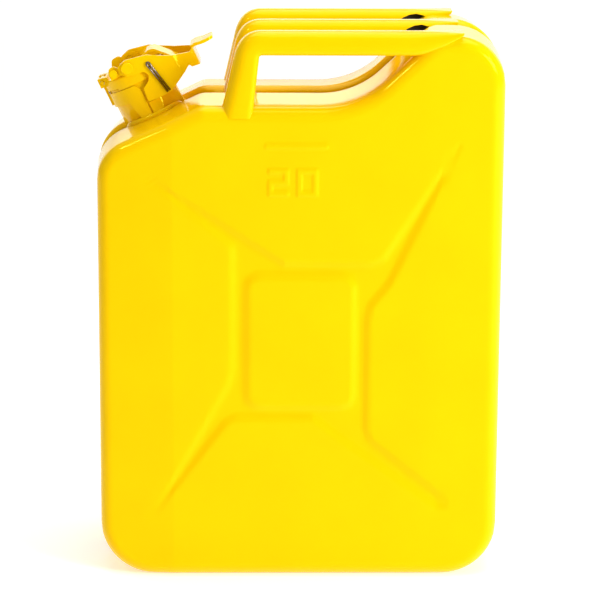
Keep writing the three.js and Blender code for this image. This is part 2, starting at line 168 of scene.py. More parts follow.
# ---- face relief ----
def signed_distance(px, pz, polygon):
    """Distance to a closed polygon, negative inside."""
    best = np.full(px.shape, 1e9)
    inside = np.zeros(px.shape, bool)
    for (x1, z1), (x2, z2) in zip(polygon, polygon[1:] + polygon[:1]):
        ex, ez = x2 - x1, z2 - z1
        t = np.clip(((px - x1) * ex + (pz - z1) * ez) / (ex * ex + ez * ez), 0, 1)
        best = np.minimum(best, np.hypot(px - x1 - t * ex, pz - z1 - t * ez))
        crosses = (z1 > pz) != (z2 > pz)
        if z1 != z2:
            inside ^= crosses & (px < x1 + (pz - z1) * ex / ez)
    return np.where(inside, -best, best)


def rounded_box_distance(px, pz, box):
    left, right, low, high, r = box
    dx = np.abs(px - (left + right) / 2) - (right - left) / 2 + r
    dz = np.abs(pz - (low + high) / 2) - (high - low) / 2 + r
    outside = np.hypot(np.maximum(dx, 0), np.maximum(dz, 0))
    return outside + np.minimum(np.maximum(dx, dz), 0) - r


def stamp_distance(px, pz):
    """The capacity number in plain block strokes, and the rib above it."""
    left, low, height, width, stroke, pitch = -27, 333, 23, 17, 4, 24
    rib, corner = (-29.7, 373, 52.1, 3.5), 1.2
    top, middle, second = low + height - stroke, low + (height - stroke) / 2, left + pitch
    strokes = [rib, (left, low, stroke, middle - low + stroke)]
    strokes += [(left + width - stroke, middle, stroke, top - middle + stroke)]
    strokes += [(left, z, width, stroke) for z in (low, middle, top)]
    strokes += [(second, z, width, stroke) for z in (low, top)]
    strokes += [(x, low, stroke, height) for x in (second, second + width - stroke)]
    boxes = [(x, x + dx, z, z + dz, corner) for x, z, dx, dz in strokes]
    return np.minimum.reduce([rounded_box_distance(px, pz, box) for box in boxes])


def face_relief(px, pz):
    """Height of the pressed face over its flat, in millimetres."""
    stamp_relief, stamp_spread, stamp_slope = 0.85, 0.9, 1.5
    dome_length, dome_height = 340, 440
    band = np.maximum(signed_distance(px, pz, CROSS), -rounded_box_distance(px, pz, PAD))
    sunk = smooth((CROSS_SLOPE - 1 - band) / (2 * CROSS_SLOPE))
    raised = stamp_relief * smooth((stamp_spread - stamp_distance(px, pz)) / stamp_slope)
    across = np.cos(np.clip(2 * px / dome_length, -1, 1) * math.pi / 2)
    upright = np.sin(np.clip(pz / dome_height, 0, 1) * math.pi)
    return raised - CROSS_DEPTH * sunk + FACE_DOME * (across * upright - 1)


def fold_drop(px):
    """How far the face falls back beyond its two upright folds."""
    drop = np.zeros_like(px)
    soft = FOLD_SOFTNESS
    for fold, amount in FOLDS:
        away = (px - fold) * math.copysign(1, fold)
        bend = np.where(away < -soft, 0, (away + soft) ** 2 / (4 * soft))
        drop += amount * np.where(away > soft, away, bend) / (HALF_LENGTH - abs(fold))
    return drop


# ---- half shells ----
def spaced(low, high, pitch):
    return np.linspace(low, high, max(2, round((high - low) / pitch) + 1))


def face_grid():
    """Columns and rows of points over a face, and the normals along its lower and upper edge."""
    points, normals, marks = rounded_outline(CORNERS, EDGE_INSET, EDGE_INSET - SIDE_DRAFT)
    bottom = np.isin(marks, (0, 1))
    low_curve, low_normal = points[bottom], normals[bottom]
    top_curve, top_normal = points[~bottom][::-1], normals[~bottom][::-1]
    columns = np.unique(np.round(np.concatenate([
        low_curve[:, 0], top_curve[:, 0], spaced(-120, 118, COARSE),
        spaced(-109.5, -104.5, FOLD_PITCH), spaced(-34, 26, FINE),
    ]), 2))
    xs = [columns[0]]
    for x in columns[1:]:
        if x - xs[-1] > LEAST_PITCH:
            xs.append(x)
    xs[-1] = columns[-1]
    xs = np.array(xs)
    middle = np.unique(np.round(np.concatenate([
        spaced(12, 328, COARSE), spaced(328, 380, FINE), spaced(380, 398, 2.2),
    ]), 3))
    share = (middle - middle[0]) / (middle[-1] - middle[0])
    lows = np.interp(xs, low_curve[:, 0], low_curve[:, 1])
    highs = np.interp(xs, top_curve[:, 0], top_curve[:, 1])
    pz = lows[:, None] + (highs - lows)[:, None] * share[None, :]
    px = np.repeat(xs[:, None], len(share), axis=1)

    def edge_normals(curve, curve_normals):
        found = np.stack([np.interp(xs, curve[:, 0], curve_normals[:, k]) for k in (0, 1)], axis=1)
        return found / np.linalg.norm(found, axis=1)[:, None]

    return px, pz, edge_normals(low_curve, low_normal), edge_normals(top_curve, top_normal)


def side_profile():
    """Distance from the seam plane and inset, from the face's edge down into the seam groove."""
    arc_steps, wall_top, wall_low = 9, 62, 22
    edge_y = FACE_Y - EDGE_RADIUS
    profile = []
    for k in range(1, arc_steps + 1):
        angle = math.pi / 2 * (1 - k / arc_steps)
        y = edge_y + EDGE_RADIUS * math.sin(angle)
        profile.append((y, EDGE_INSET - EDGE_RADIUS * math.cos(angle)))
    for y in np.linspace(wall_top, wall_low, 7):
        profile.append((y, SIDE_DRAFT * (y - GROOVE_START) / (edge_y - GROOVE_START)))
    for y in np.linspace(GROOVE_START, GROOVE_LEVEL, 14):
        profile.append((y, groove_depth(y)))
    return profile + [(2, GROOVE_DEPTH), (0.15, GROOVE_DEPTH)]


def half_shell(name, side):
    """One pressed half, front at side -1: its face, then rings of skin round its edge to the seam."""
    px, pz, low_normal, top_normal = face_grid()
    columns, rows = px.shape
    height = FACE_Y - fold_drop(px) + face_relief(px * -side, pz)
    face_verts = np.stack([px, side * height, pz], axis=-1).reshape(-1, 3)
    index = np.arange(columns * rows).reshape(columns, rows)
    faces = []
    for i in range(columns - 1):
        for j in range(rows - 1):
            faces.append((index[i, j], index[i + 1, j], index[i + 1, j + 1], index[i, j + 1]))
    loop = np.concatenate([index[:, 0], index[-1, 1:], index[-2::-1, -1], index[0, -2:0:-1]])
    left, right = np.array([-1.0, 0.0]), np.array([1.0, 0.0])
    normals = np.concatenate([
        low_normal, np.tile(right, (rows - 1, 1)), top_normal[-2::-1], np.tile(left, (rows - 2, 1)),
    ])
    normals[0] = left
    normals[columns - 1] = right
    edge = face_verts[loop]
    edge_drop = FACE_Y - side * edge[:, 1]
    previous = loop
    all_verts = [face_verts]
    total = len(face_verts)
    for y, inset in side_profile():
        out = EDGE_INSET - inset
        down = EDGE_INSET - SIDE_DRAFT - max(0, inset - SIDE_DRAFT)
        ring_x = edge[:, 0] + normals[:, 0] * out
        ring_z = edge[:, 2] + normals[:, 1] * np.where(normals[:, 1] < 0, down, out)
        drop = edge_drop * np.clip((y - FOLD_FADE_Y) / (FACE_Y - FOLD_FADE_Y), 0, 1)
        all_verts.append(np.stack([ring_x, side * (y - drop), ring_z], axis=1))
        fresh = np.arange(total, total + len(loop))
        total += len(loop)
        for a, b, c, d in zip(previous, np.roll(previous, -1), np.roll(fresh, -1), fresh):
            faces.append((a, d, c, b))
        previous = fresh
    verts, faces = neck_hole(np.concatenate(all_verts), faces)
    if side > 0:
        faces = [face[::-1] for face in faces]
    piece = mesh_piece(name, verts * MM, faces)
    sheet = piece.modifiers.new("sheet", "SOLIDIFY")
    sheet.thickness = SHEET * MM
    sheet.offset = -1
    return piece


def neck_hole(verts, faces):
    """Opens the skin where the neck goes through: inner points go, the ones at the rim move onto it."""
    lowest_w = -25
    u, w = neck_place(verts[:, 0], verts[:, 2])
    radius = np.hypot(u, verts[:, 1])
    inside = (radius < NECK_HOLE_R) & (w > lowest_w)
    kept = [face for face in faces if not all(inside[v] for v in face)]
    used = np.zeros(len(verts), bool)
    used[np.unique(np.concatenate([np.array(face) for face in kept]))] = True
    rim = used & inside
    grow = np.where(rim, NECK_HOLE_R / np.maximum(radius, 1e-6), 1)
    verts[:, 0] += u * (grow - 1) * math.cos(TILT)
    verts[:, 2] += u * (grow - 1) * math.sin(TILT)
    verts[:, 1] *= grow
    renumber = np.cumsum(used) - 1
    return verts[used], [tuple(int(renumber[v]) for v in face) for face in kept]


# ---- mesh helpers ----
def mesh_piece(name, verts, faces, smooth_shade=True):
    mesh = bpy.data.meshes.new(name)
    mesh.from_pydata([tuple(v) for v in verts], [], [tuple(int(i) for i in f) for f in faces])
    mesh.validate()
    piece = bpy.data.objects.new(name, mesh)
    bpy.context.collection.objects.link(piece)
    if smooth_shade:
        mesh.shade_smooth()
    return piece


def turned(profile, steps):
    """A solid of revolution about the neck's axis; profile points are radius and height."""
    verts, faces, rings = [], [], []
    for r, w in profile:
        if r == 0:
            rings.append([len(verts)])
            verts.append((NECK_U, 0, w))
            continue
        rings.append(list(range(len(verts), len(verts) + steps)))
        for k in range(steps):
            angle = TAU * k / steps
            verts.append((NECK_U + r * math.cos(angle), r * math.sin(angle), w))
    closed = profile[0] == profile[-1]
    if closed:
        del verts[rings[-1][0]:]
        rings[-1] = rings[0]
    for low, high in zip(rings, rings[1:]):
        for k in range(steps):
            n = (k + 1) % steps
            if len(low) == 1:
                faces.append((low[0], high[n], high[k]))
            elif len(high) == 1:
                faces.append((low[k], low[n], high[0]))
            else:
                faces.append((low[k], low[n], high[n], high[k]))
    return raw_piece(verts, faces)


def prism(outline, low, high, axis="y"):
    """An outline in u and w standing between two y values, or one in u and y between two w values."""
    count = len(outline)
    place = (lambda p, t: (p[0], t, p[1])) if axis == "y" else (lambda p, t: (p[0], p[1], t))
    verts = [place(p, low) for p in outline] + [place(p, high) for p in outline]
    faces = [tuple(range(count)), tuple(range(2 * count - 1, count - 1, -1))]
    faces += [(k, k + count, (k + 1) % count + count, (k + 1) % count) for k in range(count)]
    return raw_piece(verts, faces)


def fillet(points, steps=5):
    """A polygon whose corners are rounded: each point is u, w and its radius."""
    out = []
    count = len(points)
    for i, (x, z, r) in enumerate(points):
        here = np.array([x, z], float)
        back = np.array(points[i - 1][:2], float) - here
        ahead = np.array(points[(i + 1) % count][:2], float) - here
        reach = min(np.linalg.norm(back), np.linalg.norm(ahead)) * 0.48
        back, ahead = unit(back), unit(ahead)
        half = math.acos(max(-1, min(1, float(back @ ahead)))) / 2
        cut = min(r / math.tan(half), reach) if r > 0 else 0
        if cut < 0.02:
            out.append((x, z))
            continue
        start, end = here + back * cut, here + ahead * cut
        for k in range(steps + 1):
            t = k / steps
            point = (1 - t) ** 2 * start + 2 * t * (1 - t) * here + t * t * end
            out.append(tuple(point))
    return out


def rod(u, w, r, low, high, steps=40):
    """A round bar that lies across the can, between two y values."""
    angles = [TAU * k / steps for k in range(steps)]
    return prism([(u + r * math.cos(a), w + r * math.sin(a)) for a in angles], low, high)


def plug(r, low, high, steps):
    """A solid cylinder on the neck's axis, between two heights."""
    return turned([(0, low), (r, low), (r, high), (0, high)], steps)


def raw_piece(verts, faces):
    piece = mesh_piece("work", verts, faces, smooth_shade=False)
    bm = bmesh.new()
    bm.from_mesh(piece.data)
    bmesh.ops.recalc_face_normals(bm, faces=bm.faces)
    bm.to_mesh(piece.data)
    bm.free()
    return piece


def carve(piece, *steps, material_mode="INDEX"):
    """Joins to, cuts from or crosses a piece with others, which are used up."""
    for operation, other in steps:
        change = piece.modifiers.new("carve", "BOOLEAN")
        change.operation = operation
        change.object = other
        change.solver = "EXACT"
        change.material_mode = material_mode
        graph = bpy.context.evaluated_depsgraph_get()
        mesh = bpy.data.meshes.new_from_object(piece.evaluated_get(graph))
        piece.modifiers.clear()
        piece.data = mesh
        bpy.data.objects.remove(other)
    return piece


def settle(piece, name, body, slot, nodes, bevel=0.0, to_can=True, angle=30):
    """Names a piece, moves it into the can's frame in metres, rounds its edges and dresses it."""
    piece.name = name
    piece.data.name = name
    bm = bmesh.new()
    bm.from_mesh(piece.data)
    bmesh.ops.remove_doubles(bm, verts=bm.verts, dist=0.01)
    bmesh.ops.dissolve_degenerate(bm, edges=bm.edges, dist=0.005)
    bmesh.ops.dissolve_limit(bm, angle_limit=math.radians(0.6), verts=bm.verts, edges=bm.edges)
    bm.to_mesh(piece.data)
    bm.free()
    piece.data.transform(TO_CAN if to_can else Matrix.Scale(MM, 4))
    if bevel:
        edge = piece.modifiers.new("edges", "BEVEL")
        edge.width = bevel * MM
        edge.segments = 3
        edge.angle_limit = math.radians(angle)
        edge.harden_normals = True
    piece.data.shade_smooth()
    piece.data.materials.clear()
    dress(piece, body, slot, *nodes)


def ring_faces(rings, sides, closed=False):
    """Faces of a skin over rings of points, which meets itself if closed and is capped if not."""
    faces = []
    for k in range(rings if closed else rings - 1):
        n = (k + 1) % rings
        for j in range(sides):
            m = (j + 1) % sides
            faces.append((k * sides + j, k * sides + m, n * sides + m, n * sides + j))
    if not closed:
        faces.append(tuple(range(sides))[::-1])
        faces.append(tuple(range((rings - 1) * sides, rings * sides)))
    return faces


def tube(path, radii, closed=False, sides=12, across=(1, 1)):
    """A round bar along a row of points, with a radius at each; across flattens it."""
    path = np.array(path, float)
    count = len(path)
    verts = []
    up = np.array([0.0, 1.0, 0.0])
    for k in range(count):
        ahead = path[(k + 1) % count] if closed or k + 1 < count else path[k]
        back = path[k - 1] if closed or k > 0 else path[k]
        along = unit(ahead - back)
        first = unit(np.cross(along, up)) if abs(along @ up) < 0.99 else np.array([1.0, 0, 0])
        second = np.cross(along, first)
        for j in range(sides):
            a = TAU * j / sides
            offset = first * math.cos(a) * across[0] + second * math.sin(a) * across[1]
            verts.append(tuple(path[k] + radii[k] * offset))
    return raw_piece(verts, ring_faces(count, sides, closed))


# ---- materials ----
def new_material(name):
    material = bpy.data.materials.new(name)
    material.use_nodes = True
    nodes = material.node_tree.nodes
    return material, nodes, material.node_tree.links, nodes["Principled BSDF"]


def noise(nodes, links, scale, detail, roughness=0.5):
    """Noise over the object's own coordinates; scale is in cells a metre."""
    coords = nodes.new("ShaderNodeTexCoord")
    node = nodes.new("ShaderNodeTexNoise")
    node.inputs["Scale"].default_value = scale
    node.inputs["Detail"].default_value = detail
    node.inputs["Roughness"].default_value = roughness
    links.new(coords.outputs["Object"], node.inputs["Vector"])
    return node.outputs["Fac"]


def ramp(nodes, links, source, *stops):
    """Two stops, each a position and its colour."""
    node = nodes.new("ShaderNodeValToRGB")
    links.new(source, node.inputs["Fac"])
    for element, (position, color) in zip(node.color_ramp.elements, stops):
        element.position = position
        element.color = color
    return node.outputs["Color"]


def grey(value):
    """A colour without hue, for roughness too."""
    return (value, value, value, 1)


def coordinate(nodes, links, axis):
    """One of the object's own coordinates, in metres."""
    split = nodes.new("ShaderNodeSeparateXYZ")
    links.new(nodes.new("ShaderNodeTexCoord").outputs["Object"], split.inputs[0])
    return split.outputs[axis]


def map_range(nodes, links, source, start, end, low, high, interpolation="LINEAR"):
    node = nodes.new("ShaderNodeMapRange")
    node.interpolation_type = interpolation
    for key, value in (("From Min", start), ("From Max", end), ("To Min", low), ("To Max", high)):
        node.inputs[key].default_value = value
    links.new(source, node.inputs["Value"])
    return node.outputs[0]


def groove_painted_shade(nodes, links, paint):
    """Painted shade down in the groove: darkens the paint by its distance in metres from the seam plane.
    """
    fully_shaded, unshaded, least = 0.005, 0.0175, 0.2
    distance = nodes.new("ShaderNodeMath")
    distance.operation = "ABSOLUTE"
    links.new(coordinate(nodes, links, "Y"), distance.inputs[0])
    share = map_range(nodes, links, distance.outputs[0], fully_shaded, unshaded, least, 1.0, "SMOOTHSTEP")
    shade_mix = nodes.new("ShaderNodeMix")
    shade_mix.data_type = "RGBA"
    shade_mix.inputs["A"].default_value = grey(0)
    links.new(share, shade_mix.inputs["Factor"])
    links.new(paint, shade_mix.inputs["B"])
    return shade_mix.outputs["Result"]


def painted(name, groove=False):
    """Glossy enamel: slow colour drift, orange peel, faint dust in the gloss, painted shade in the
    groove.
    """
    rough, wave_share, peel_height = 0.07, 3.0, 0.0004
    r, g, b = YELLOW
    material, nodes, links, shader = new_material(name)
    drift = noise(nodes, links, 14, 4)
    paint = ramp(nodes, links, drift, (0.3, (r * 0.965, g * 0.955, b, 1)), (0.7, (r, g, b, 1)))
    # painted shade: the paint darkens towards the seam plane down in the groove
    if groove:
        paint = groove_painted_shade(nodes, links, paint)
    links.new(paint, shader.inputs["Base Color"])
    dust = noise(nodes, links, 60, 5, 0.6)
    gloss = ramp(nodes, links, dust, (0.35, grey(rough * 0.85)), (0.75, grey(rough * 1.25)))
    links.new(gloss, shader.inputs["Roughness"])
    height = nodes.new("ShaderNodeMath")
    height.operation = "MULTIPLY_ADD"
    height.inputs[1].default_value = wave_share
    links.new(noise(nodes, links, 45, 2), height.inputs[0])
    links.new(noise(nodes, links, 420, 2), height.inputs[2])
    bump = nodes.new("ShaderNodeBump")
    bump.inputs["Strength"].default_value = 0.10
    bump.inputs["Distance"].default_value = peel_height
    links.new(height.outputs[0], bump.inputs["Height"])
    links.new(bump.outputs["Normal"], shader.inputs["Normal"])
    shader.inputs["Specular IOR Level"].default_value = 0.5
    shader.inputs["Specular Tint"].default_value = (1, 0.8, 0.03, 1)
    return material


def metal(name, color, rough):
    material, nodes, links, shader = new_material(name)
    grain = noise(nodes, links, 350, 4, 0.65)
    shade = tuple(v * 0.75 for v in color) + (1,)
    links.new(ramp(nodes, links, grain, (0.3, shade), (0.7, color + (1,))), shader.inputs["Base Color"])
    gloss = ramp(nodes, links, grain, (0.3, grey(rough * 0.8)), (0.7, grey(rough * 1.3)))
    links.new(gloss, shader.inputs["Roughness"])
    shader.inputs["Metallic"].default_value = 1.0
    return material


def seal_rubber(name):
    material, nodes, links, shader = new_material(name)
    speck = noise(nodes, links, 900, 3)
    tone = ramp(nodes, links, speck, (0.35, (0.012, 0.012, 0.013, 1)), (0.7, (0.035, 0.035, 0.036, 1)))
    links.new(tone, shader.inputs["Base Color"])
    shader.inputs["Roughness"].default_value = 0.75
    return material


YELLOW = (0.98, 0.6, 0.001)
ENAMEL = painted("yellow_enamel")
# the shells' enamel carries painted shade down in the seam groove
SHELL_ENAMEL = painted("yellow_enamel_groove_shaded", groove=True)
# painted reflection: the wire's dark brown colour stands in for the dark surroundings it mirrors; the lid
# rivet shares it
WIRE = metal("plated_wire", (0.21, 0.16, 0.12), 0.18)
LINER = metal("dull_plating", (0.42, 0.43, 0.44), 0.5)
SEAL = seal_rubber("seal_rubber")
# painted shade: near-black walls for the handle pockets, standing in for the unlit inside of the hollow
# bars
POCKET_SHADE = seal_rubber("unlit_inside")
BY_SLOT = {"body_paint": ENAMEL, "bare_steel": WIRE, "inner_metal": LINER, "seal": SEAL}


def dress(piece, body, slot, *nodes, material=None):
    """Gives a piece its material, by its slot unless one is given, and its body, and hides the CAD nodes
    it replaces.
    """
    piece.data.materials.append(material or BY_SLOT[slot])
    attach(piece, body)
    if nodes:
        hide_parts(*nodes)


# ---- half shells and their seam ----
for side, name in ((-1, "front_shell"), (1, "rear_shell")):
    dress(half_shell(f"{name}_skin", side), "root", "body_paint", name, material=SHELL_ENAMEL)


def ripple(count, seed, amount):
    """A smooth closed wobble, for hand-laid weld."""
    draws = np.random.default_rng(seed).uniform(-1, 1, count)
    kernel = np.array([1, 2, 3, 2, 1]) / 9
    return 1 + amount * np.convolve(np.concatenate([draws[-2:], draws, draws[:2]]), kernel, "valid")


def seam_bead():
    """The weld in the bottom of the groove, left out where the neck passes."""
    pitch, neck_gap, shoulder_z, bead_r = 2.2, 2.6, 300, 1.25
    points, _, _ = rounded_outline(CORNERS, BEAD_INSET, BEAD_INSET - SIDE_DRAFT)
    dense = []
    for (x1, z1), (x2, z2) in zip(points, np.roll(points, -1, axis=0)):
        steps = max(1, round(math.hypot(x2 - x1, z2 - z1) / pitch))
        dense += [(x1 + (x2 - x1) * k / steps, z1 + (z2 - z1) * k / steps) for k in range(steps)]
    hidden = [
        abs(neck_place(x, z)[0]) < NECK_R + neck_gap and z > shoulder_z and x < 0
        for x, z in dense
    ]
    start = max(i for i, hit in enumerate(hidden) if hit) + 1
    order = zip(dense[start:] + dense[:start], hidden[start:] + hidden[:start])
    path = [(x, 0.0, z) for (x, z), hit in order if not hit]
    bead = tube(path, bead_r * ripple(len(path), 5, 0.16), sides=10, across=(0.75, 1.7))
    settle(bead, "seam_weld_bead", "root", "body_paint", ["seam_weld"], to_can=False)


seam_bead()


# ---- handles ----
HANDLE_HALF = 12
HANDLE_UNDERSIDE = 450.2
HANDLE_WINDOW = [
    (82, 440), (86, 459), (91, 463.6), (97, 466), (103, 466.8), (109, 465.4), (116, 461.5),
    (120, 456), (120, 440),
]
WINDOW_CORNER, WINDOW_DEPTH = 3, 9


def handle_sections():
    """Outer and inner edge points of the bar's side shape, from the foot of the leg to the far end."""
    foot, knee = np.array([-67.2, 398.0]), np.array([-55.6, 448.0])
    inner_foot, inner_knee = np.array([-40.2, 398.0]), np.array([-34.4, 449.0])
    control, bend_end = np.array([-51.0, HANDLE_TOP - 0.5]), np.array([-33.0, HANDLE_TOP])
    inner_bend_end = np.array([-33.0, HANDLE_UNDERSIDE])
    bar_start, bar_end, slant = -28, 92, 1.5
    pairs = []
    for t in np.linspace(0, 1, 12):
        pairs.append((foot + (knee - foot) * t, inner_foot + (inner_knee - inner_foot) * t))
    for t in np.linspace(0, 1, 14)[1:]:
        outer = (1 - t) ** 2 * knee + 2 * t * (1 - t) * control + t * t * bend_end
        pairs.append((outer, inner_knee + (inner_bend_end - inner_knee) * t))
    for x in np.linspace(bar_start, bar_end, 24):
        pairs.append((np.array([x, HANDLE_TOP]), np.array([x + slant, HANDLE_UNDERSIDE])))
    for t in np.linspace(0, 1, 14)[1:]:
        outer = np.array([bar_end + 42 * t, HANDLE_TOP - 0.6 * t * t])
        inner = np.array([bar_end + slant + 39.5 * t, HANDLE_UNDERSIDE + 16.8 * t ** 1.6])
        pairs.append((outer, inner))
    return pairs


def handle_bar(place, y):
    """One pressed bar: a rounded section along its side shape, with pockets at the far end whose walls
    are painted shade.
    """
    corner_steps, outer_corner, inner_corner = 6, 11.4, 5
    sections = handle_sections()
    verts = []
    for outer, inner in sections:
        tall = np.linalg.norm(outer - inner)
        up = (outer - inner) / tall
        r_out, r_in = min(outer_corner, tall * 0.52), min(inner_corner, tall * 0.35)
        for edge, centre_h, r, first in (
            (HANDLE_HALF, tall - r_out, r_out, 0), (-HANDLE_HALF, tall - r_out, r_out, 90),
            (-HANDLE_HALF, r_in, r_in, 180), (HANDLE_HALF, r_in, r_in, 270),
        ):
            centre_y = y + edge - math.copysign(r, edge)
            for k in range(corner_steps + 1):
                a = math.radians(first + 90 * k / corner_steps)
                x, z = inner + up * (centre_h + r * math.sin(a))
                verts.append((x, centre_y + r * math.cos(a), z))
    piece = raw_piece(verts, ring_faces(len(sections), 4 * (corner_steps + 1)))
    piece.data.materials.append(ENAMEL)
    window = fillet([(x, z, WINDOW_CORNER) for x, z in HANDLE_WINDOW])
    for side in (-1, 1):
        if y * side <= 0:
            wall = y + side * HANDLE_HALF
            cutter = prism(window, *sorted((wall - side * WINDOW_DEPTH, wall + side)))
            # the pocket walls get the near-black painted shade
            cutter.data.materials.append(POCKET_SHADE)
            carve(piece, ("DIFFERENCE", cutter), material_mode="TRANSFER")
    piece.name = f"handle_{place}_bar"
    piece.data.name = piece.name
    piece.data.transform(Matrix.Scale(MM, 4))
    piece.data.shade_smooth()
    piece.data.set_sharp_from_angle(angle=math.radians(50))
    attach(piece, "root")
    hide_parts(f"handle_{place}")


for place in ("front", "middle", "rear"):
    low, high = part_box(f"handle_{place}")
    handle_bar(place, (low[1] + high[1]) / 2 / MM)


# ---- neck, with its weld and bracket; from here to the locking pin, places are in the neck's frame ----
NECK_BORE_R, NECK_FOOT = 25.4, -15
BRACKET_IN, BRACKET_OUT, STEM_HALF = NECK_R + 0.3, NECK_R + 1.7, 6.4
HINGE, HINGE_HOLE_R = (-29, 42.4), 1.9
PIVOT, PIVOT_HOLE_R = (-3, 46.5), 2.8
THROUGH = 40
ROUND = 96


def neck_pieces():
    wall = [
        (NECK_BORE_R, NECK_FOOT), (NECK_R, NECK_FOOT), (NECK_R, 31.6), (26.7, 32.6), (26.1, 33),
        (25.6, 32.7), (NECK_BORE_R, 32), (NECK_BORE_R, NECK_FOOT),
    ]
    settle(turned(wall, ROUND), "neck_wall", "root", "body_paint", ["neck_tube"])

    ring_r, bead_r, bead_w = NECK_R + 1.0, 2.5, 0.6
    path = []
    for a in np.linspace(0, TAU, 120, endpoint=False):
        y = ring_r * math.sin(a)
        path.append((NECK_U + ring_r * math.cos(a), y, bead_w - groove_depth(y)))
    bead = tube(path, bead_r * ripple(len(path), 11, 0.12), closed=True)
    settle(bead, "neck_weld_bead", "root", "body_paint", ["neck_weld"])

    band = turned([
        (BRACKET_IN, 1), (BRACKET_OUT, 1), (BRACKET_OUT, 31), (BRACKET_IN, 31), (BRACKET_IN, 1),
    ], ROUND)
    outer_side = fillet([
        (-40, 18, 0), (-14.4, 18, 2), (-12.4, 9, 3), (-10.2, 2.6, 2), (-0.5, 2.6, 1.2),
        (-0.5, 25.4, 0.6), (-4, 30.5, 2), (-40, 30.5, 0),
    ])
    foot = fillet([(0.9, 2.6, 1), (10.4, 2.6, 2), (12.4, 9, 3), (12.6, 12.2, 0.8), (0.9, 12.6, 0.8)])
    keep = carve(prism(outer_side, -THROUGH, THROUGH), ("UNION", prism(foot, -THROUGH, THROUGH)))
    stem = prism([(-30.6, 20), (-28.6, 20), (-28.6, 43.4), (-30.6, 43.4)], -STEM_HALF, STEM_HALF)
    carve(stem, ("DIFFERENCE", plug(BRACKET_IN, 0, 34, ROUND)))
    carve(
        band, ("INTERSECT", keep), ("UNION", stem),
        ("UNION", rod(*HINGE, 3.2, -STEM_HALF, STEM_HALF)),
        ("DIFFERENCE", rod(*HINGE, HINGE_HOLE_R, -20, 20)),
    )
    settle(band, "hinge_bracket_sheet", "root", "body_paint", ["hinge_bracket"], bevel=0.3)


neck_pieces()


# ---- lid and what rides on it ----
LID_TOP, LID_PANEL, LID_LOW = 42, 41.4, 35.8
LUG_HALF, LUG_GAP = 14, 6.8
RIVET_HOLE_R, RIVET_STEPS = 3.3, 32
EAR_IN, EAR_OUT = 25.7, 27.5
KNUCKLES = ((-15.6, 46.8, 3.4, -30.5, -EAR_IN), (-13, 48.4, 4.1, EAR_IN, 29))


def lid_pieces():
    disc = turned([
        (0, LID_LOW), (27.3, LID_LOW), (27.3, 31.4), (28.5, 31.4), (28.7, 32), (28.7, 40.6),
        (28, 41.7), (27, LID_TOP), (21, LID_TOP), (20, LID_PANEL), (0, LID_PANEL),
    ], ROUND)
    lug = fillet([(-32.2, 38.2, 0.8), (-23.5, 37.2, 0.4), (-23.5, 45.2, 1.2), (-32, 46.6, 1)])
    stem_room = [(-40, 30), (-25, 30), (-25, 60), (-40, 60)]
    band_room = [(-40, 25), (-16, 25), (-18, 33.05), (-40, 33.05)]
    carve(
        disc, ("UNION", prism(lug, -LUG_HALF, LUG_HALF)),
        ("DIFFERENCE", prism(stem_room, -LUG_GAP, LUG_GAP)),
        ("DIFFERENCE", rod(*HINGE, HINGE_HOLE_R, -20, 20)),
        ("DIFFERENCE", plug(RIVET_HOLE_R, 20, 60, RIVET_STEPS)),
        ("DIFFERENCE", prism(band_room, -35, 35)),
    )
    settle(disc, "lid_pressing", "lid_body", "body_paint", ["lid"], bevel=0.4)

    ear = fillet([
        (-19.6, 42.4, 0), (-20.2, 47, 2), (-18, 52, 3), (-13, 52.6, 3), (-10.4, 49.2, 2),
        (-7.6, 51.8, 2), (-3, 53, 3), (1.4, 51.8, 3), (4.2, 48.4, 2), (6, 42.4, 0),
    ])
    saddle = prism([(-19, 42.3), (6, 42.3), (6, 43.8), (-19, 43.8)], -EAR_OUT, EAR_OUT)
    carve(saddle, ("UNION", prism(ear, -EAR_OUT, -EAR_IN)), ("UNION", prism(ear, EAR_IN, EAR_OUT)))
    carve(
        saddle, *[("UNION", rod(*knuckle)) for knuckle in KNUCKLES],
        ("DIFFERENCE", plug(RIVET_HOLE_R, 20, 60, RIVET_STEPS)),
        ("DIFFERENCE", rod(*PIVOT, PIVOT_HOLE_R, -THROUGH, THROUGH)),
    )
    settle(saddle, "lid_saddle_sheet", "lid_body", "body_paint", ["lid_saddle"], bevel=0.4)

    shank_r, head_r = 2.5, 5.1
    for side, name in ((-1, "front"), (1, "rear")):
        pin = rod(*PIVOT, shank_r, *sorted((side * 24.5, side * 31.7)))
        carve(pin, ("UNION", rod(*PIVOT, head_r, *sorted((side * 31.5, side * 33.4)), 56)))
        settle(pin, f"lever_pin_{name}_rivet", "lid_body", "body_paint", [f"lever_pin_{name}"], bevel=0.6)


lid_pieces()


# ---- lever ----
CHEEK_OUT, CHEEK_IN = 31.2, 29.4
END_OUT, END_IN = 53.4, 51.8
HUMP_HALF = 14
LEVER_SIDE = [
    (-10.6, 50.6, 4), (-10.4, 43.6, 4), (-5.4, 40, 5), (1, 38.6, 3), (8.4, 38.2, 2.6), (11.2, 34.2, 3),
    (8.8, 29.4, 2), (2.2, 25.2, 1.2), (1.2, 13.6, 1), (12, 12.8, 2), (22.8, 13.6, 3), (31, 18, 6),
    (39.5, 22.8, 5), (45, 26.6, 1.5), (46.5, 23.8, 1), (54.4, 22.2, 1), (54.4, 39.8, 1), (51.4, 37, 2),
    (49.5, 35.8, 3), (36.5, 40, 8), (26.5, 44.6, 8), (16.5, 50.2, 5), (-1.4, 53.6, 6),
]
WEB_SIDE = [(30, 33.6, 0), (44, 28, 8), (52.2, 25.6, 0), (52.2, 27.2, 0), (44.4, 29.6, 8), (30, 35.2, 0)]
